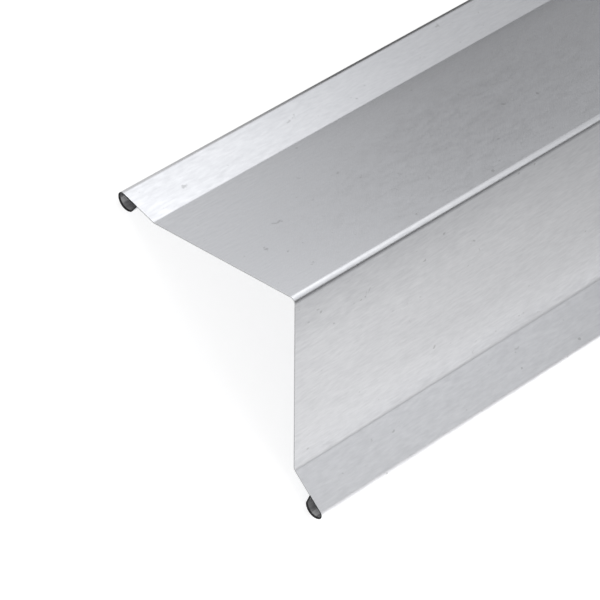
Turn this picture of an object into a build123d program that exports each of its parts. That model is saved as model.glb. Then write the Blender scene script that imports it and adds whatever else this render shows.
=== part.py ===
"""Ridge cap: one length of folded sheet metal with a rolled bead along each edge.

Row frame: X runs along the ridge, Y across it, Z up. The cap lies on its two beads with
the ridge up, centred on X and Y, and the floor is at Z = 0. Sizes are in millimetres.
"""

import os
from math import atan2, cos, degrees, radians, sin, tan

from build123d import *

# Stock
length = 1000.0  # sold length, along the ridge
sheet = 0.7  # thickness of the sheet
bend_radius = 3.0  # inside radius of every fold

# The two legs and the angle between them
ridge_angle = 90.0  # between the legs, seen from the end
leg_a = 104.0  # ridge corner to flange fold, on the -Y side
leg_b = 110.0  # the same on the +Y side

# The flanges turn outwards from the legs
turn_a = 19.8  # fold between leg and flange, on the -Y side
turn_b = 45.6  # the same on the +Y side
flange_a = 24.0  # flange fold to where the bead starts to curl
flange_b = 26.8  # the same on the +Y side

# The bead, alike on both edges: three arcs, then a straight lip back to the flange.
# Its radii are on the outer face.
tip_radius = 3.2
tip_turn = 104.3
belly_radius = 6.7
belly_turn = 120.1
heel_radius = 1.8
heel_turn = 25.0
lip_gap = 0.2  # left between the sheet's edge and the flange

# How far each leg turns down from level at the ridge
slope_turn = 90 - ridge_angle / 2
ridge_radius = bend_radius + sheet

# Direction of the outer face after each arc of the bead, from the flange's own
after_tip = radians(tip_turn)
after_belly = after_tip + radians(belly_turn)
after_heel = after_belly + radians(heel_turn)

# The lip is as long as lets its inner corner stop one gap short of the flange
tip_drop = tip_radius * (1 - cos(after_tip))
belly_drop = belly_radius * (cos(after_tip) - cos(after_belly))
heel_drop = heel_radius * (cos(after_belly) - cos(after_heel))
edge_drop = sheet + lip_gap - sheet * cos(after_heel)
lip = (tip_drop + belly_drop + heel_drop - edge_drop) / -sin(after_heel)


def draw_side(side, leg, flange_turn, flange, depth):
    """Draw one face of the sheet from the top of the ridge out to the sheet's edge.

    The side is +1 for +Y and -1 for -Y. The depth is how far the face lies below the
    outer face: 0 or the sheet's thickness. Returns the belly arc and the lip.
    """
    fold_setback = bend_radius * tan(radians(flange_turn / 2))
    slope_length = leg - ridge_radius * tan(radians(slope_turn)) - fold_setback
    ridge = JernArc((0, -depth), (side, 0), ridge_radius - depth, -side * slope_turn)
    slope = Line(ridge @ 1, ridge @ 1 + (ridge % 1) * slope_length)
    fold = JernArc(slope @ 1, slope % 1, bend_radius + depth, side * flange_turn)
    flat = Line(fold @ 1, fold @ 1 + (fold % 1) * (flange - fold_setback))
    tip = JernArc(flat @ 1, flat % 1, tip_radius - depth, -side * tip_turn)
    belly = JernArc(tip @ 1, tip % 1, belly_radius - depth, -side * belly_turn)
    heel = JernArc(belly @ 1, belly % 1, heel_radius - depth, -side * heel_turn)
    return belly, Line(heel @ 1, heel @ 1 + (heel % 1) * lip)


# The section of the sheet, drawn with the ridge straight up
with BuildLine() as outline:
    belly_a, outer_lip_a = draw_side(-1, leg_a, turn_a, flange_a, 0)
    belly_b, outer_lip_b = draw_side(+1, leg_b, turn_b, flange_b, 0)
    _, inner_lip_a = draw_side(-1, leg_a, turn_a, flange_a, sheet)
    _, inner_lip_b = draw_side(+1, leg_b, turn_b, flange_b, sheet)
    Line(outer_lip_a @ 1, inner_lip_a @ 1)
    Line(outer_lip_b @ 1, inner_lip_b @ 1)

# Turned until both bellies are level, then centred and set down on the floor
across = belly_b.arc_center - belly_a.arc_center
lying = outline.line.rotate(Axis.Z, -degrees(atan2(across.Y, across.X)))
box = lying.bounding_box()
lying = lying.moved(Location((-box.center().X, -box.min.Y)))

with BuildPart() as ridge_cap:
    with BuildSketch(Plane.YZ) as section:
        with BuildLine():
            add(lying)
        make_face()
    extrude(amount=length / 2, both=True)

ridge_cap.part.label = "ridge_cap"

os.makedirs("parts", exist_ok=True)
export_step(ridge_cap.part, "parts/ridge_cap.step")
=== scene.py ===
"""Ridge cap in mill-finish sheet metal, standing on its two rolled beads.

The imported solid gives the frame. Here the cap is folded again as one fine mesh from the
same sizes, in metres: X runs along the ridge, Y across it, Z up, and the floor is Z = 0.
"""

import logging
import math
from collections.abc import Callable
from dataclasses import dataclass, field
from enum import Enum

import bpy
from mathutils import Matrix, Vector


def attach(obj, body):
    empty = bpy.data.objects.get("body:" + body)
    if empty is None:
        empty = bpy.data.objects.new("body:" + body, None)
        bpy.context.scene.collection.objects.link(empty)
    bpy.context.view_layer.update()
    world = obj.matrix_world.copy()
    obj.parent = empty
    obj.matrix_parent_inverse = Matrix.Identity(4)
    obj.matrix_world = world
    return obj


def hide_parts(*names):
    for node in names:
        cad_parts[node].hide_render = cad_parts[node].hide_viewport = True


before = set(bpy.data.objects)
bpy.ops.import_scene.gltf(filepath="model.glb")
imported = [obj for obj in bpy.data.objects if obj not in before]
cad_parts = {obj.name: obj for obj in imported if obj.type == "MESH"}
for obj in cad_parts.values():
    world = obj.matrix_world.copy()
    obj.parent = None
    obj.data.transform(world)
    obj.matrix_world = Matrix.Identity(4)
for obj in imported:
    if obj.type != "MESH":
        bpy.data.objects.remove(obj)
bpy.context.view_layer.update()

LOG = logging.getLogger("ridge_cap")
MM = 0.001
QUARTER_TURN = 90
HALF_TURN = 180
SLOTS_EACH = 3


class Side(Enum):
    """The two sides of the ridge, by the sign of their Y."""

    A = -1
    B = 1


class Slot(Enum):
    """Material slots of the cap's mesh.

    The wall modifier adds 1 to a face's slot on the under side and 2 on a cut edge, so
    the plain sheet and the bead each take SLOTS_EACH slots in a row.
    """

    SHEET = 0
    BEAD = SLOTS_EACH


def deselect_all() -> None:
    """Leave object mode with nothing selected."""
    if bpy.context.object and bpy.context.object.mode != "OBJECT":
        bpy.ops.object.mode_set(mode="OBJECT")
    bpy.ops.object.select_all(action="DESELECT")


def select_edges(thing: bpy.types.Object, fits: Callable[[Vector], bool]) -> None:
    """Select the edges whose two ends both pass a test of their place.

    Args:
        thing: the object, which is in edit mode before and after.
        fits: the test.
    """
    bpy.ops.mesh.select_all(action="DESELECT")
    bpy.ops.mesh.select_mode(type="EDGE")
    bpy.ops.object.mode_set(mode="OBJECT")
    passes = [fits(vertex.co) for vertex in thing.data.vertices]
    for edge in thing.data.edges:
        edge.select = all(passes[i] for i in edge.vertices)
    bpy.ops.object.mode_set(mode="EDIT")


def heading(degrees: float) -> Vector:
    """Give the unit vector in the YZ plane at this angle from +Y towards +Z."""
    angle = math.radians(degrees)
    return Vector((0.0, math.cos(angle), math.sin(angle)))


@dataclass(frozen=True)
class Run:
    """A straight stretch of the section.

    Attributes:
        length: length in metres.
        strips: how many strips of faces it is made of.
    """

    length: float
    strips: int = 1


@dataclass(frozen=True)
class Bend:
    """A round stretch of the section.

    Attributes:
        radius: radius of the outer face in metres.
        turn: how far it turns in degrees, positive towards the under side.
        strips: how many strips of faces it is made of.
    """

    radius: float
    turn: float
    strips: int


@dataclass(frozen=True)
class RolledBead:
    """The curl along the edge of a flange, alike on both sides.

    Attributes:
        tip_radius: outer radius of the tip.
        tip_turn: turn of the tip in degrees.
        belly_radius: outer radius of the belly, which meets the floor.
        belly_turn: turn of the belly in degrees.
        heel_radius: outer radius of the heel.
        heel_turn: turn of the heel in degrees.
        lip_gap: what is left between the sheet's edge and the flange.
        over_hollow: length of the flange that roofs the bead's hollow.
        tip_strips: how many strips of faces the tip is made of.
        belly_strips: the same for the belly.
        heel_strips: the same for the heel.
        lip_strips: the same for the lip.
    """

    tip_radius: float = 3.2 * MM
    tip_turn: float = 104.3
    belly_radius: float = 6.7 * MM
    belly_turn: float = 120.1
    heel_radius: float = 1.8 * MM
    heel_turn: float = 25.0
    lip_gap: float = 0.2 * MM
    over_hollow: float = 10.6 * MM
    tip_strips: int = 16
    belly_strips: int = 22
    heel_strips: int = 5
    lip_strips: int = 2

    def lip(self, sheet: float) -> float:
        """Work out how long the lip is.

        Args:
            sheet: thickness of the sheet.

        Returns:
            The length that stops the lip's inner corner one gap short of the flange.
        """
        after_tip = math.radians(self.tip_turn)
        after_belly = after_tip + math.radians(self.belly_turn)
        after_heel = after_belly + math.radians(self.heel_turn)
        drop = self.tip_radius * (1 - math.cos(after_tip))
        drop += self.belly_radius * (math.cos(after_tip) - math.cos(after_belly))
        drop += self.heel_radius * (math.cos(after_belly) - math.cos(after_heel))
        drop -= sheet + self.lip_gap - sheet * math.cos(after_heel)
        return drop / -math.sin(after_heel)

    def path(self, sheet: float) -> list[Run | Bend]:
        """List the bead's stretches from the flange to the sheet's edge.

        Args:
            sheet: thickness of the sheet.

        Returns:
            The stretches, in order.
        """
        return [
            Bend(self.tip_radius, self.tip_turn, self.tip_strips),
            Bend(self.belly_radius, self.belly_turn, self.belly_strips),
            Bend(self.heel_radius, self.heel_turn, self.heel_strips),
            Run(self.lip(sheet), self.lip_strips),
        ]


@dataclass
class Pen:
    """Draws the outer face by extruding its leading edge in edit mode.

    Attributes:
        side: which way the pen travels from the ridge.
        place: where the leading edge is, in the YZ plane.
        angle: the pen's heading in degrees from +Y towards +Z.
    """

    side: Side
    place: Vector
    angle: float

    def under(self) -> Vector:
        """Give the unit vector from the outer face towards the under side."""
        return heading(self.angle - QUARTER_TURN * self.side.value)

    def follow(self, stretch: Run | Bend, draw: bool = True) -> None:
        """Go along one stretch.

        Args:
            stretch: the run or bend.
            draw: whether to extrude the selected edge as well as move the pen.
        """
        if isinstance(stretch, Run):
            step = heading(self.angle) * (stretch.length / stretch.strips)
            for _ in range(stretch.strips if draw else 0):
                bpy.ops.mesh.extrude_edges_move(TRANSFORM_OT_translate={"value": step})
            self.place = self.place + step * stretch.strips
            return
        centre = self.place + self.under() * stretch.radius
        turn = -self.side.value * stretch.turn
        if draw:
            bpy.ops.mesh.spin(
                steps=stretch.strips,
                angle=-math.radians(turn),  # spin turns clockwise about its axis
                center=centre,
                axis=(1, 0, 0),
            )
        turned = Matrix.Rotation(math.radians(turn), 3, "X")
        self.place = centre + turned @ (self.place - centre)
        self.angle += turn


@dataclass
class FoldedCap:
    """The whole cap: one sheet, folded at the ridge and at each flange, and rolled.

    Attributes:
        length: length along the ridge.
        sheet: thickness of the sheet.
        bend_radius: inside radius of every fold.
        slope_turn: how far each leg turns down from level, before the cap leans.
        legs: ridge corner to flange fold, by side.
        turns: fold between leg and flange in degrees, by side.
        flanges: flange fold to where the bead starts to curl, by side.
        bead: the curl along both edges.
        lengthwise_strips: wide faces along the ridge.
        margin: width of the narrow faces that end every flat. They keep its shading level
            right up to the bends and the cut ends.
        first: width of the grid at the ridge that both halves are drawn out from. It is
            closed up before the wall is given.
        ridge_strips: strips of faces on each half of the ridge's bend.
        leg_strips: wide strips on each leg.
        fold_strips: strips round each flange fold.
        flange_strips: wide strips on each flange, as far as the bead's hollow.
        roof_strips: wide strips over the bead's hollow.
        ease: width of the rounding along the cut edges.
        ease_strips: strips across that rounding.
        ease_from: the least angle between faces, in degrees, that is rounded.
        smooth_to: the largest angle between faces, in degrees, that is shaded smooth.
    """

    length: float = 1000 * MM
    sheet: float = 0.7 * MM
    bend_radius: float = 3.0 * MM
    slope_turn: float = 45.0
    legs: dict[Side, float] = field(
        default_factory=lambda: {Side.A: 104.0 * MM, Side.B: 110.0 * MM}
    )
    turns: dict[Side, float] = field(
        default_factory=lambda: {Side.A: 19.8, Side.B: 45.6}
    )
    flanges: dict[Side, float] = field(
        default_factory=lambda: {Side.A: 24.0 * MM, Side.B: 26.8 * MM}
    )
    bead: RolledBead = RolledBead()
    lengthwise_strips: int = 60
    margin: float = 0.3 * MM
    first: float = 0.02 * MM
    ridge_strips: int = 9
    leg_strips: int = 10
    fold_strips: int = 6
    flange_strips: int = 3
    roof_strips: int = 2
    ease: float = 0.05 * MM
    ease_strips: int = 2
    ease_from: float = 60.0
    smooth_to: float = 35.0

    def path(self, side: Side) -> list[Run | Bend]:
        """List the stretches from the top of the ridge to one edge of the sheet.

        Args:
            side: which edge.

        Returns:
            The stretches, in order.
        """
        ridge_radius = self.bend_radius + self.sheet
        turn = self.turns[side]
        ridge_setback = ridge_radius * math.tan(math.radians(self.slope_turn))
        fold_setback = self.bend_radius * math.tan(math.radians(turn / 2))
        slope = self.legs[side] - ridge_setback - fold_setback
        flat = self.flanges[side] - fold_setback - self.bead.over_hollow
        return [
            Bend(ridge_radius, self.slope_turn, self.ridge_strips),
            *self.panel(slope, self.leg_strips),
            Bend(-self.bend_radius, -turn, self.fold_strips),
            *self.panel(flat, self.flange_strips),
            *self.panel(self.bead.over_hollow, self.roof_strips),
            *self.bead.path(self.sheet),
        ]

    def panel(self, length: float, strips: int) -> list[Run]:
        """Split a flat into strips, with a narrow one at each end.

        Args:
            length: length of the flat.
            strips: wide strips between the narrow ones.

        Returns:
            The runs, in order.
        """
        return [Run(self.margin), Run(length - 2 * self.margin, strips), Run(self.margin)]

    def arc_centre(self, start: Pen, radius: float) -> Vector:
        """Find the centre of one arc of a bead, by following the path without drawing.

        Args:
            start: a pen at the top of the ridge, for the bead's side.
            radius: outer radius of the arc.

        Returns:
            The centre in the YZ plane.
        """
        for stretch in self.path(start.side):
            if isinstance(stretch, Bend) and stretch.radius == radius:
                break
            start.follow(stretch, draw=False)
        return start.place + start.under() * radius

    def level_pens(self) -> dict[Side, Pen]:
        """Place a pen for each side so that both bellies meet the floor.

        Returns:
            The pens at the top of the ridge, by side.
        """
        belly, tip = self.bead.belly_radius, self.bead.tip_radius
        top = Vector((0.0, 0.0, 0.0))
        rough = {s: self.arc_centre(self.pen(s, top, 0.0), belly) for s in Side}
        across = rough[Side.B] - rough[Side.A]
        lean = -math.degrees(math.atan2(across.z, across.y))
        level = self.arc_centre(self.pen(Side.A, top, lean), belly)
        reach = [self.arc_centre(self.pen(s, top, lean), tip).y + s.value * tip for s in Side]
        top = Vector((0.0, -sum(reach) / 2, belly - level.z))
        return {s: self.pen(s, top, lean) for s in Side}

    @staticmethod
    def pen(side: Side, top: Vector, lean: float) -> Pen:
        """Give a pen at the top of the ridge that heads out over one side."""
        return Pen(side, top.copy(), lean if side is Side.B else HALF_TURN + lean)

    def build(self) -> bpy.types.Object:
        """Fold the sheet and give it its wall.

        Returns:
            The finished mesh object.
        """
        pens = self.level_pens()
        top = pens[Side.B].place.copy()
        lean = pens[Side.B].angle
        deselect_all()
        # A narrow grid at the top of the ridge, which is then drawn out both ways
        bpy.ops.mesh.primitive_grid_add(
            x_subdivisions=self.lengthwise_strips, y_subdivisions=1, size=1
        )
        cap = bpy.context.object
        cap.name = "folded_cap"
        cap.data.name = "folded_cap"
        bpy.ops.object.mode_set(mode="EDIT")
        bpy.ops.mesh.select_all(action="SELECT")
        bpy.ops.transform.resize(value=(self.length - 2 * self.margin, self.first, 1.0))
        bpy.ops.transform.translate(value=top)
        for end in (-1, 1):
            self.draw_end(cap, end)
        for side, pen in pens.items():
            self.draw_side(cap, side, pen, top)
        self.face_outwards(cap)
        self.mark_beads(cap)
        self.give_wall(cap)
        LOG.info("folded cap: %d faces, leaning %.2f degrees", len(cap.data.polygons), lean)
        return cap

    def draw_end(self, cap: bpy.types.Object, end: int) -> None:
        """Draw one of the grid's short edges out by one narrow strip.

        Args:
            cap: the mesh, in edit mode.
            end: which edge, by the sign of its X.
        """
        line = self.length / 2 - 2 * self.margin
        select_edges(cap, lambda place: end * place.x > line)
        outwards = (end * self.margin, 0, 0)
        bpy.ops.mesh.extrude_edges_move(TRANSFORM_OT_translate={"value": outwards})

    def draw_side(self, cap: bpy.types.Object, side: Side, pen: Pen, top: Vector) -> None:
        """Select the grid's long edge on one side and draw that half of the section.

        Args:
            cap: the mesh, in edit mode.
            side: which half.
            pen: the pen for that half, at the top of the ridge.
            top: the top of the ridge.
        """
        line = top.y + side.value * self.first / 2
        near = self.first / 10
        select_edges(
            cap, lambda place: abs(place.y - line) < near and abs(place.z - top.z) < near
        )
        for stretch in self.path(side):
            pen.follow(stretch)

    def face_outwards(self, cap: bpy.types.Object) -> None:
        """Merge doubles, which closes the first grid up, and turn every normal outwards.

        Args:
            cap: the mesh, in edit mode. It is left in object mode.
        """
        bpy.ops.mesh.select_all(action="SELECT")
        bpy.ops.mesh.remove_doubles(threshold=1.5 * self.first)
        bpy.ops.mesh.normals_make_consistent(inside=False)
        bpy.ops.object.mode_set(mode="OBJECT")
        highest = max(cap.data.polygons, key=lambda face: face.center.z)
        if highest.normal.z < 0:
            bpy.ops.object.mode_set(mode="EDIT")
            bpy.ops.mesh.select_all(action="SELECT")
            bpy.ops.mesh.flip_normals()
            bpy.ops.object.mode_set(mode="OBJECT")

    def mark_beads(self, cap: bpy.types.Object) -> None:
        """Give the faces that enclose a bead's hollow their own slot.

        Args:
            cap: the outer face, before its wall is given.
        """
        for side, pen in self.level_pens().items():
            for stretch in self.path(side)[:-len(self.bead.path(self.sheet))]:
                pen.follow(stretch, draw=False)
            along = heading(pen.angle)
            for face in cap.data.polygons:
                out = face.center - pen.place
                out.x = 0.0
                if out.dot(along) > -self.bead.over_hollow:
                    face.material_index = Slot.BEAD.value

    def give_wall(self, cap: bpy.types.Object) -> None:
        """Give the outer face the sheet's thickness on its under side and ease its rim.

        Args:
            cap: the outer face.
        """
        wall = cap.modifiers.new("wall", "SOLIDIFY")
        wall.thickness = self.sheet
        wall.offset = -1.0
        wall.use_even_offset = True
        wall.material_offset = 1
        wall.material_offset_rim = 2
        rounding = cap.modifiers.new("rounding", "BEVEL")
        rounding.width = self.ease
        rounding.segments = self.ease_strips
        rounding.limit_method = "ANGLE"
        rounding.angle_limit = math.radians(self.ease_from)
        for _ in range(SLOTS_EACH * len(Slot)):
            cap.data.materials.append(None)
        bpy.ops.object.modifier_apply(modifier=wall.name)
        bpy.ops.object.modifier_apply(modifier=rounding.name)
        bpy.ops.object.shade_smooth_by_angle(angle=math.radians(self.smooth_to))

    def dress(self, cap: bpy.types.Object) -> None:
        """Put a finish in each of the cap's slots.

        Args:
            cap: the mesh with its wall.
        """
        lines = rolling_lines_group()
        specks = mill_specks_group()
        sheet = MillSheet().material(lines, specks)
        edge = ShearedEdge("sheared_edge").material(lines)
        hollow = BeadHollow().material(lines)
        # The beads' cut edges get a near-black copy of the sheared edge: painted shade of the
        # hollow behind them.
        shaded_mouth = ShearedEdge("bead_mouth_painted_shade", tone=(0.015, 0.015, 0.016), roughness=0.55)
        finishes = (sheet, sheet, edge, sheet, hollow, shaded_mouth.material(lines))
        for slot, finish in enumerate(finishes):
            cap.data.materials[slot] = finish


class NodeBoard:
    """Adds and joins the nodes of one material or group."""

    def __init__(self, tree: bpy.types.NodeTree) -> None:
        """Start on an empty tree.

        Args:
            tree: the tree to fill.
        """
        self.tree = tree
        tree.nodes.clear()

    def add(self, kind: str, **values: object) -> bpy.types.Node:
        """Add one node.

        Args:
            kind: the node's type, without its ShaderNode start.
            values: settings of the node, by attribute name.

        Returns:
            The node.
        """
        node = self.tree.nodes.new(kind if kind.startswith("NodeGroup") else "ShaderNode" + kind)
        for name, value in values.items():
            setattr(node, name, value)
        return node

    def feed(self, socket: bpy.types.NodeSocket, source: object) -> None:
        """Link a socket to an output, or set it to a plain value.

        Args:
            socket: the input socket.
            source: the output or the value.
        """
        if isinstance(source, bpy.types.NodeSocket):
            self.tree.links.new(source, socket)
        else:
            socket.default_value = source

    def math(self, operation: str, *terms: object, clamp: bool = False) -> bpy.types.NodeSocket:
        """Add a Math node.

        Args:
            operation: which sum it does.
            terms: its inputs, each an output or a number.
            clamp: whether to hold the result to 0 to 1.

        Returns:
            The result.
        """
        node = self.add("Math", operation=operation, use_clamp=clamp)
        for socket, term in zip(node.inputs, terms):
            self.feed(socket, term)
        return node.outputs[0]

    def remap(
        self, value: object, low: float, high: float, to_low: float = 0.0, to_high: float = 1.0
    ) -> bpy.types.NodeSocket:
        """Map a value from one range to another, held at both ends.

        Args:
            value: the value, an output or a number.
            low: where its range starts.
            high: where its range ends.
            to_low: the result at the start.
            to_high: the result at the end.

        Returns:
            The result.
        """
        node = self.add("MapRange", clamp=True)
        for socket, term in zip(node.inputs, (value, low, high, to_low, to_high)):
            self.feed(socket, term)
        return node.outputs[0]

    def weigh(self, first: object, second: object, share: float) -> bpy.types.NodeSocket:
        """Add two values up, the second by its share and the first by the rest.

        Args:
            first: the first value, an output or a number.
            second: the second value, likewise.
            share: the second value's share.

        Returns:
            The sum.
        """
        rest = self.math("MULTIPLY", first, 1.0 - share)
        return self.math("ADD", rest, self.math("MULTIPLY", second, share))

    def mix(self, share: object, first: object, second: object) -> bpy.types.NodeSocket:
        """Mix two colours.

        Args:
            share: the second colour's share, an output or a number.
            first: the first colour, an output or a tuple.
            second: the second colour, likewise.

        Returns:
            The colour.
        """
        node = self.add("Mix", data_type="RGBA")
        self.feed(node.inputs[0], share)
        # A Mix node has its two colours at inputs 6 and 7 and their mix at output 2
        for socket, colour in zip(node.inputs[6:8], (first, second)):
            self.feed(socket, (*colour, 1.0) if isinstance(colour, tuple) else colour)
        return node.outputs[2]

    def noise(
        self,
        place: bpy.types.NodeSocket,
        detail: float,
        roughness: float = 0.5,
        scale: float = 1.0,
    ) -> bpy.types.NodeSocket:
        """Add a noise texture.

        Args:
            place: where it is read.
            detail: how many finer layers it has.
            roughness: how strong each finer layer is.
            scale: how many features it has per unit of the place.

        Returns:
            Its value.
        """
        node = self.add("TexNoise")
        values = {"Vector": place, "Scale": scale, "Detail": detail, "Roughness": roughness}
        for name, value in values.items():
            self.feed(node.inputs[name], value)
        return node.outputs[0]

    def own_place(self) -> bpy.types.Node:
        """Split up the object's own coordinates.

        Returns:
            A node with the outputs X, Y and Z.
        """
        node = self.add("SeparateXYZ")
        self.feed(node.inputs[0], self.add("TexCoord").outputs["Object"])
        return node

    def stretched_place(self, along: object, across: object) -> bpy.types.NodeSocket:
        """Scale the object's own coordinates along and across the ridge.

        Args:
            along: the scale along the ridge, an output or a number.
            across: the scale across it, likewise.

        Returns:
            The scaled coordinates.
        """
        scale = self.add("CombineXYZ")
        for socket, value in zip(scale.inputs, (along, across, across)):
            self.feed(socket, value)
        product = self.add("VectorMath", operation="MULTIPLY")
        self.feed(product.inputs[0], self.add("TexCoord").outputs["Object"])
        self.feed(product.inputs[1], scale.outputs[0])
        return product.outputs[0]


def new_material(name: str) -> tuple[bpy.types.Material, NodeBoard]:
    """Start a material.

    Args:
        name: the material's name.

    Returns:
        The material and its empty board.
    """
    material = bpy.data.materials.new(name)
    material.use_nodes = True
    return material, NodeBoard(material.node_tree)


def new_group(
    name: str, inputs: tuple[str, ...], outputs: tuple[str, ...]
) -> tuple[NodeBoard, bpy.types.Node, bpy.types.Node]:
    """Start a shader node group of plain values.

    Args:
        name: the group's name.
        inputs: its inputs, which every use of it sets.
        outputs: its outputs.

    Returns:
        The group's board, its input node and its output node.
    """
    tree = bpy.data.node_groups.new(name, "ShaderNodeTree")
    for direction, labels in (("INPUT", inputs), ("OUTPUT", outputs)):
        for label in labels:
            tree.interface.new_socket(label, in_out=direction, socket_type="NodeSocketFloat")
    board = NodeBoard(tree)
    return board, board.add("NodeGroupInput"), board.add("NodeGroupOutput")


def rolling_lines_group() -> bpy.types.NodeTree:
    """Make the fine lines that the mill's rollers leave along the sheet.

    Returns:
        A group with Along and Across as features per metre, and Tone and Height out.
    """
    board, given, out = new_group("rolling_lines", ("Along", "Across"), ("Tone", "Height"))
    place = board.stretched_place(given.outputs["Along"], given.outputs["Across"])
    fine = board.noise(place, detail=3.0, roughness=0.6)
    broad = board.noise(place, detail=2.0, scale=0.17)
    tone = board.weigh(fine, broad, share=0.2)
    board.feed(out.inputs["Tone"], board.remap(tone, low=0.3, high=0.7))
    board.feed(out.inputs["Height"], fine)
    return board.tree


def mill_specks_group() -> bpy.types.NodeTree:
    """Make small scattered marks, drawn out along the sheet.

    Returns:
        A group with Along and Across as features per metre and Rarity in, and Mask out.
    """
    board, given, out = new_group("mill_specks", ("Along", "Across", "Rarity"), ("Mask",))
    place = board.stretched_place(given.outputs["Along"], given.outputs["Across"])
    spot = board.noise(place, detail=2.0, roughness=0.6)
    over = board.math("SUBTRACT", spot, given.outputs["Rarity"])
    steepness = 18.0
    board.feed(out.inputs["Mask"], board.math("MULTIPLY", over, steepness, clamp=True))
    return board.tree


class Finish:
    """Shared steps of the metal finishes."""

    @staticmethod
    def start(name: str) -> tuple[bpy.types.Material, NodeBoard, bpy.types.Node]:
        """Start a material with a metal shader.

        Args:
            name: the material's name.

        Returns:
            The material, its board and its shader.
        """
        material, board = new_material(name)
        shader = board.add("BsdfPrincipled")
        shader.inputs["Metallic"].default_value = 1.0
        board.feed(board.add("OutputMaterial").inputs["Surface"], shader.outputs[0])
        return material, board, shader

    @staticmethod
    def place_group(board: NodeBoard, tree: bpy.types.NodeTree, **values: float) -> bpy.types.Node:
        """Place a shared group with its own values.

        Args:
            board: the material's board.
            tree: the group.
            values: its inputs' values, by name.

        Returns:
            The group's node.
        """
        node = board.add("Group", node_tree=tree)
        for name, value in values.items():
            board.feed(node.inputs[name], value)
        return node


@dataclass(frozen=True)
class MillSheet(Finish):
    """The sheet's rolled faces.

    Attributes:
        light: colour between the rolling lines.
        dark: colour in them.
        speck: colour of the marks.
        roughness: lowest and highest roughness.
        cloud_share: how much of the tone comes from a broad cloud and not from the lines.
        speck_share: how much of their own colour the marks show.
        bump_strength: strength of the lines' relief.
        bump_depth: its depth.
    """

    light: tuple[float, float, float] = (0.665, 0.674, 0.70)
    dark: tuple[float, float, float] = (0.565, 0.574, 0.60)
    speck: tuple[float, float, float] = (0.36, 0.365, 0.375)
    roughness: tuple[float, float] = (0.30, 0.38)
    cloud_share: float = 0.15
    speck_share: float = 0.6
    bump_strength: float = 0.12
    bump_depth: float = 0.02 * MM

    def material(self, lines: bpy.types.NodeTree, specks: bpy.types.NodeTree) -> bpy.types.Material:
        """Make the material.

        Args:
            lines: the rolling lines group.
            specks: the mill specks group.

        Returns:
            The material.
        """
        material, board, shader = self.start("mill_sheet")
        line = self.place_group(board, lines, Along=130.0, Across=620.0)
        mark = self.place_group(board, specks, Along=150.0, Across=190.0, Rarity=0.705)
        cloud = board.noise(board.stretched_place(along=5.0, across=14.0), detail=2.0)
        tone = board.weigh(line.outputs["Tone"], cloud, self.cloud_share)
        colour = board.mix(tone, self.dark, self.light)
        faint = board.math("MULTIPLY", mark.outputs["Mask"], self.speck_share)
        board.feed(shader.inputs["Base Color"], board.mix(faint, colour, self.speck))
        smoothest, roughest = self.roughness
        board.feed(shader.inputs["Roughness"], board.remap(tone, 0.2, 0.8, roughest, smoothest))
        bump = board.add("Bump")
        board.feed(bump.inputs["Strength"], self.bump_strength)
        board.feed(bump.inputs["Distance"], self.bump_depth)
        board.feed(bump.inputs["Height"], line.outputs["Height"])
        board.feed(shader.inputs["Normal"], bump.outputs[0])
        return material


@dataclass(frozen=True)
class ShearedEdge(Finish):
    """A cut edge of the sheet.

    Attributes:
        name: the material's name.
        tone: its colour.
        roughness: its roughness.
        lined: how much of the colour is left in the darkest lines.
    """

    name: str
    tone: tuple[float, float, float] = (0.50, 0.50, 0.51)
    roughness: float = 0.45
    lined: float = 0.75

    def material(self, lines: bpy.types.NodeTree) -> bpy.types.Material:
        """Make the material.

        Args:
            lines: the rolling lines group.

        Returns:
            The material.
        """
        material, board, shader = self.start(self.name)
        line = self.place_group(board, lines, Along=2500.0, Across=600.0)
        dull = tuple(self.lined * part for part in self.tone)
        board.feed(shader.inputs["Base Color"], board.mix(line.outputs["Tone"], dull, self.tone))
        shader.inputs["Roughness"].default_value = self.roughness
        return material


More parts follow.
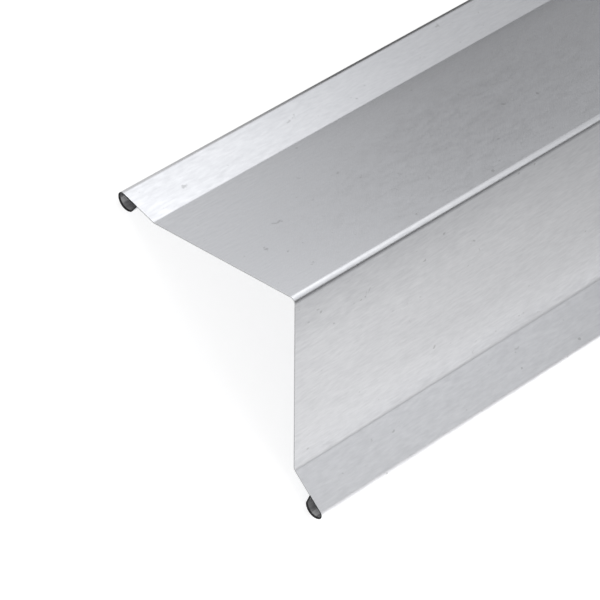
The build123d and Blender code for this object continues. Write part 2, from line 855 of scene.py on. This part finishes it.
@dataclass(frozen=True)
class BeadHollow(Finish):
    """The inside of the beads, dull from rolling, with a lighter band of painted light and a dark
    line of painted shade just inside the cut ends.

    Attributes:
        light: colour of the cleaner lines.
        dark: colour of the dull ones.
        painted_light: colour of the band of painted light along the bead's inside, towards its tip.
        band: how far from the ridge's plane the band starts and ends.
        soft: width of the band's soft edges.
        painted_rim_shade: colour just inside the cut ends, painted shade that draws a dark line
            there.
        rim_shade_span: how far from the middle the painted shade starts and is full.
        roughness: its roughness.
        metallic: how metallic it is still, under its dull film.
    """

    light: tuple[float, float, float] = (0.56, 0.56, 0.57)
    dark: tuple[float, float, float] = (0.36, 0.36, 0.37)
    painted_light: tuple[float, float, float] = (0.92, 0.92, 0.93)
    band: tuple[float, float] = (97.4 * MM, 99.6 * MM)
    soft: float = 0.8 * MM
    painted_rim_shade: tuple[float, float, float] = (0.05, 0.05, 0.052)
    rim_shade_span: tuple[float, float] = (498.8 * MM, 499.3 * MM)
    roughness: float = 0.55
    metallic: float = 0.20

    def material(self, lines: bpy.types.NodeTree) -> bpy.types.Material:
        """Make the material.

        Args:
            lines: the rolling lines group.

        Returns:
            The material.
        """
        material, board, shader = self.start("bead_hollow")
        line = self.place_group(board, lines, Along=8.0, Across=700.0)
        dull = board.mix(line.outputs["Tone"], self.dark, self.light)
        place = board.own_place()
        # Painted light: a lighter band along the inside, at a given distance from the ridge's
        # plane.
        out = board.math("ABSOLUTE", place.outputs["Y"])
        start, end = self.band
        past_start = board.remap(out, start - self.soft, start)
        before_end = board.remap(out, end, end + self.soft, to_low=1.0, to_high=0.0)
        painted_light_share = board.math("MULTIPLY", past_start, before_end)
        colour = board.mix(painted_light_share, dull, self.painted_light)
        # Painted shade: a dark line over the last 0.7 to 1.2 mm of the inside at both cut ends.
        rim_shade_share = board.remap(board.math("ABSOLUTE", place.outputs["X"]), *self.rim_shade_span)
        board.feed(shader.inputs["Base Color"], board.mix(rim_shade_share, colour, self.painted_rim_shade))
        shader.inputs["Roughness"].default_value = self.roughness
        shader.inputs["Metallic"].default_value = self.metallic
        return material


@dataclass(frozen=True)
class Sweep:
    """The pale floor that the cap stands on.

    Attributes:
        span: side of the floor in metres.
        drop: how far under the cap it lies, so that the two never share a plane.
        albedo: colour of the floor.
        glow: light that the camera and reflections see on top of its own shading.
    """

    span: float = 30.0
    drop: float = 0.1 * MM
    albedo: float = 0.5
    glow: float = 0.72

    def build(self) -> bpy.types.Object:
        """Lay the floor.

        Returns:
            The floor.
        """
        deselect_all()
        bpy.ops.mesh.primitive_plane_add(size=self.span, location=(0, 0, -self.drop))
        floor = bpy.context.object
        floor.name = "floor"
        bpy.ops.object.transform_apply(location=True)
        material, board = new_material("floor_paint")
        paint = board.add("BsdfDiffuse")
        paint.inputs["Color"].default_value = (self.albedo, self.albedo, self.albedo, 1.0)
        ray = board.add("LightPath")
        seen = board.math("MAXIMUM", ray.outputs["Is Camera Ray"], ray.outputs["Is Glossy Ray"])
        seen = board.math("MAXIMUM", seen, ray.outputs["Is Transmission Ray"])
        glow = board.add("Emission")
        board.feed(glow.inputs["Strength"], board.math("MULTIPLY", seen, self.glow))
        both = board.add("AddShader")
        board.feed(both.inputs[0], paint.outputs[0])
        board.feed(both.inputs[1], glow.outputs[0])
        board.feed(board.add("OutputMaterial").inputs["Surface"], both.outputs[0])
        floor.data.materials.append(material)
        return floor


@dataclass(frozen=True)
class PhotoCamera:
    """The camera at the photograph's angle.

    Attributes:
        place: where it stands.
        right: its picture's right, in the row frame.
        up: its picture's up.
        width_pixels: the photograph's width in pixels.
        focal_pixels: focal length in the same pixels.
        sensor: width of the camera's sensor in millimetres.
        clip: the nearest and the furthest distance that it sees.
    """

    place: tuple[float, float, float] = (1.81095, 0.03658, 1.84267)
    right: tuple[float, float, float] = (-0.68839, 0.52158, 0.50406)
    up: tuple[float, float, float] = (-0.40860, -0.85302, 0.32465)
    width_pixels: int = 600
    focal_pixels: float = 4224.2
    sensor: float = 36.0
    clip: tuple[float, float] = (0.01, 100.0)

    def build(self) -> bpy.types.Object:
        """Set the camera up.

        Returns:
            The camera.
        """
        data = bpy.data.cameras.new("photo_camera")
        data.sensor_width = self.sensor
        data.lens = self.focal_pixels * self.sensor / self.width_pixels
        data.clip_start, data.clip_end = self.clip
        camera = bpy.data.objects.new("photo_camera", data)
        bpy.context.scene.collection.objects.link(camera)
        right, up = Vector(self.right).normalized(), Vector(self.up)
        back = right.cross(up).normalized()
        up = back.cross(right)
        turn = Matrix((right, up, back)).transposed().to_4x4()
        camera.matrix_world = Matrix.Translation(self.place) @ turn
        bpy.context.scene.camera = camera
        return camera


@dataclass(frozen=True)
class SoftLamp:
    """One soft area lamp, which the metal doesn't mirror.

    Attributes:
        name: its name.
        place: where it hangs.
        aim: the point it faces.
        size: its width and height.
        power: its power in watts.
    """

    name: str
    place: tuple[float, float, float]
    aim: tuple[float, float, float]
    size: tuple[float, float]
    power: float

    def build(self) -> bpy.types.Object:
        """Hang the lamp.

        Returns:
            The lamp.
        """
        data = bpy.data.lights.new(self.name, "AREA")
        data.shape = "RECTANGLE"
        data.size, data.size_y = self.size
        data.energy = self.power
        lamp = bpy.data.objects.new(self.name, data)
        bpy.context.scene.collection.objects.link(lamp)
        lamp.location = self.place
        towards = Vector(self.aim) - Vector(self.place)
        lamp.rotation_euler = towards.to_track_quat("-Z", "Y").to_euler()
        lamp.visible_camera = False
        lamp.visible_glossy = False
        return lamp


def only_in_reflections(thing: bpy.types.Object) -> None:
    """Hide a lit piece of the studio from everything but mirror-like reflections."""
    for kind in ("camera", "diffuse", "transmission", "volume_scatter", "shadow"):
        setattr(thing, "visible_" + kind, False)


@dataclass(frozen=True)
class LightTent:
    """A half-round tent of lit cloth over the cap, which only reflections see.

    Sheet metal shows little but what it mirrors, so the tent's brightness is given by the
    angle round the ridge at three stations along it.

    Attributes:
        radius: radius of the tent.
        length: its length along the ridge.
        sides: how many flat sides the whole round would have.
        hem_to: how near to the ridge's plane the hems come.
        hem_drop: how far they end under the tent's lower edges.
        stations: where along the ridge the three levels of each line hold.
        levels: an angle in degrees, from the floor on side B (0) over the ridge (90) to
            the floor on side A (180), and its three levels.
        brightest: the highest level, which the ramps show as white.
        plain: the level towards both ends of the tent.
        plain_from: how far from the middle it starts and is reached.
    """

    radius: float = 0.45
    length: float = 3.0
    sides: int = 96
    hem_to: float = 97.5 * MM
    hem_drop: float = 0.05 * MM
    stations: tuple[float, float, float] = (0.25, 0.0, -0.25)
    levels: tuple[tuple[float, float, float, float], ...] = (
        (0, 0.85, 0.75, 0.60),
        (20, 0.60, 0.50, 0.30),
        (40, 0.55, 0.50, 0.40),
        (62, 0.45, 0.45, 0.35),
        (80, 1.05, 1.18, 0.55),
        (100, 1.25, 1.00, 0.45),
        (118, 2.00, 0.90, 0.40),
        (138, 2.20, 0.75, 0.40),
        (156, 1.50, 0.75, 0.80),
        (170, 0.65, 0.20, 0.30),
        (180, 1.10, 0.00, 0.00),
    )
    brightest: float = 2.2
    plain: float = 0.85
    plain_from: tuple[float, float] = (0.35, 0.60)

    def build(self) -> bpy.types.Object:
        """Pitch the tent.

        Returns:
            The tent.
        """
        deselect_all()
        bpy.ops.mesh.primitive_cylinder_add(
            vertices=self.sides,
            radius=self.radius,
            depth=self.length,
            end_fill_type="NOTHING",
            rotation=(0, math.pi / 2, 0),
        )
        tent = bpy.context.object
        tent.name = "light_tent"
        bpy.ops.object.transform_apply(rotation=True)
        bpy.ops.object.mode_set(mode="EDIT")
        bpy.ops.mesh.select_all(action="SELECT")
        bpy.ops.mesh.bisect(plane_co=(0, 0, 0), plane_no=(0, 0, 1), clear_inner=True)
        for side in Side:
            self.draw_hem(tent, side)
        bpy.ops.mesh.select_all(action="SELECT")
        bpy.ops.mesh.normals_make_consistent(inside=True)
        bpy.ops.object.mode_set(mode="OBJECT")
        tent.data.materials.append(self.cloth())
        only_in_reflections(tent)
        return tent

    def draw_hem(self, tent: bpy.types.Object, side: Side) -> None:
        """Draw one lower edge of the tent in along the floor, as far as under the bead.

        Args:
            tent: the tent, in edit mode.
            side: which edge.
        """
        select_edges(tent, lambda place: side.value * place.y > self.hem_to and place.z < MM)
        inwards = (0, side.value * (self.hem_to - self.radius), -self.hem_drop)
        bpy.ops.mesh.extrude_edges_move(TRANSFORM_OT_translate={"value": inwards})

    def cloth(self) -> bpy.types.Material:
        """Make the lit cloth.

        Returns:
            The material.
        """
        material, board = new_material("tent_cloth")
        place = board.own_place()
        angle = board.math("ARCTAN2", place.outputs["Z"], place.outputs["Y"])
        share = board.math("DIVIDE", angle, math.pi)
        near, middle, far = (self.ramp(board, share, column) for column in (1, 2, 3))
        to_middle = board.remap(place.outputs["X"], *self.stations[:2])
        to_far = board.remap(place.outputs["X"], *self.stations[1:])
        level = board.mix(to_far, board.mix(to_middle, near, middle), far)
        outwards = board.math("ABSOLUTE", place.outputs["X"])
        to_plain = board.remap(outwards, *self.plain_from)
        plain = self.plain / self.brightest
        level = board.mix(to_plain, level, (plain, plain, plain))
        light = board.add("Emission")
        board.feed(light.inputs["Strength"], board.math("MULTIPLY", level, self.brightest))
        board.feed(board.add("OutputMaterial").inputs["Surface"], light.outputs[0])
        return material

    def ramp(
        self, board: NodeBoard, share: bpy.types.NodeSocket, column: int
    ) -> bpy.types.NodeSocket:
        """Turn one column of levels into a ramp.

        Args:
            board: the material's board.
            share: the angle as a share of a half turn.
            column: which number of each line to use.

        Returns:
            The level as a share of the brightest.
        """
        node = board.add("ValToRGB")
        node.color_ramp.interpolation = "EASE"
        board.feed(node.inputs[0], share)
        points = node.color_ramp.elements
        while len(points) < len(self.levels):
            points.new(0.5)
        for point, line in zip(points, self.levels):
            point.position = line[0] / HALF_TURN
            grey = line[column] / self.brightest
            point.color = (grey, grey, grey, 1.0)
        return node.outputs[0]


@dataclass(frozen=True)
class SideCard:
    """An upright card close beside a bead or the ridge, which only reflections see.

    A light one fills the leg and bead beside it. A dark one draws a line along the bend
    beside it and is too near to that bend for the flats to mirror.

    Attributes:
        name: its name.
        offset: its Y.
        height: its height.
        near: its level at its foot and at its top, at the near end.
        far: the same two levels at the far end.
        fade: the X at which its near levels and its far levels hold.
        foot: how far it runs in, level, from its lower edge.
        base: the Z of its lower edge.
        length: its length along the ridge.
        tint: the colour of its light, a little warm.
    """

    name: str
    offset: float
    height: float
    near: tuple[float, float]
    far: tuple[float, float]
    fade: tuple[float, float] = (0.42, 0.10)
    foot: float = 0.0
    base: float = 0.0
    length: float = 1.2
    tint: tuple[float, float, float, float] = (1.0, 0.99, 0.975, 1.0)

    def build(self) -> bpy.types.Object:
        """Stand the card up.

        Returns:
            The card.
        """
        deselect_all()
        bpy.ops.mesh.primitive_plane_add(size=1.0, rotation=(math.pi / 2, 0, 0))
        card = bpy.context.object
        card.name = self.name
        bpy.ops.object.transform_apply(rotation=True)
        bpy.ops.object.mode_set(mode="EDIT")
        bpy.ops.mesh.select_all(action="SELECT")
        bpy.ops.transform.resize(value=(self.length, 1.0, self.height))
        bpy.ops.transform.translate(value=(0, self.offset, self.base + self.height / 2))
        if self.foot:
            self.draw_foot(card)
        bpy.ops.object.mode_set(mode="OBJECT")
        card.data.materials.append(self.surface())
        only_in_reflections(card)
        return card

    def draw_foot(self, card: bpy.types.Object) -> None:
        """Draw the card's lower edge in, level, towards the ridge's plane.

        Args:
            card: the card, in edit mode.
        """
        middle = self.base + self.height / 2
        select_edges(card, lambda place: place.z < middle)
        inwards = (0, -math.copysign(self.foot, self.offset), 0)
        bpy.ops.mesh.extrude_edges_move(TRANSFORM_OT_translate={"value": inwards})

    def surface(self) -> bpy.types.Material:
        """Make the card's light, graded along the ridge and up the card.

        Returns:
            The material.
        """
        material, board = new_material(self.name)
        place = board.own_place()
        top = self.base + self.height
        near, far = (
            board.remap(place.outputs["Z"], self.base, top, *levels)
            for levels in (self.near, self.far)
        )
        away = board.remap(place.outputs["X"], *self.fade)
        rise = board.math("MULTIPLY", away, board.math("SUBTRACT", far, near))
        light = board.add("Emission")
        light.inputs["Color"].default_value = self.tint
        board.feed(light.inputs["Strength"], board.math("ADD", near, rise))
        board.feed(board.add("OutputMaterial").inputs["Surface"], light.outputs[0])
        return material


@dataclass(frozen=True)
class Studio:
    """World light, lamps, tent, floor and camera.

    Attributes:
        ambient: strength of the white world.
        lamps: the soft lamps.
        cards: the cards beside the beads and the ridge.
    """

    ambient: float = 0.65
    lamps: tuple[SoftLamp, ...] = (
        SoftLamp("overhead", (-0.4, 0.0, 2.2), (0.2, 0, 0), (2.4, 2.4), 15.0),
    )
    cards: tuple[SideCard, ...] = (
        SideCard("fill_card", 0.115, 0.085, (1.15, 1.07), (0.75, 0.55)),
        SideCard("kick_strip", 0.106, 0.013, (2.20, 1.35), (0.70, 0.70), (0.18, 0.00), 0.006),
        SideCard("dark_flag", -0.112, 0.012, (0.85, 0.85), (0.15, 0.15), (0.48, 0.32), 0.010),
        SideCard("ridge_flag", 0.009, 0.001, (0.15, 0.15), (0.15, 0.15), foot=0.009, base=0.0954),
        SideCard("roll_flag", 0.1065, 0.001, (0.30, 0.30), (0.30, 0.30), foot=0.003, base=0.035),
    )

    def build(self) -> None:
        """Set the studio up."""
        world = bpy.data.worlds.new("studio")
        bpy.context.scene.world = world
        world.use_nodes = True
        board = NodeBoard(world.node_tree)
        back = board.add("Background")
        back.inputs["Color"].default_value = (1.0, 1.0, 1.0, 1.0)
        ray = board.add("LightPath")
        strength = board.remap(ray.outputs["Is Camera Ray"], 0.0, 1.0, to_low=self.ambient)
        board.feed(back.inputs["Strength"], strength)
        board.feed(board.add("OutputWorld").inputs["Surface"], back.outputs[0])
        for lamp in self.lamps:
            lamp.build()
        LightTent().build()
        for card in self.cards:
            card.build()
        Sweep().build()
        PhotoCamera().build()
        bpy.context.scene.view_settings.view_transform = "Standard"


def main() -> None:
    """Make every piece and report it."""
    logging.basicConfig(level=logging.INFO, format="%(name)s: %(message)s")
    sheet = FoldedCap()
    cap = sheet.build()
    sheet.dress(cap)
    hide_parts("ridge_cap")
    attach(cap, "root")
    LOG.info("piece %s stands for ridge_cap", cap.name)
    Studio().build()
    LOG.info("studio set up")


if __name__ == "__main__":
    main()
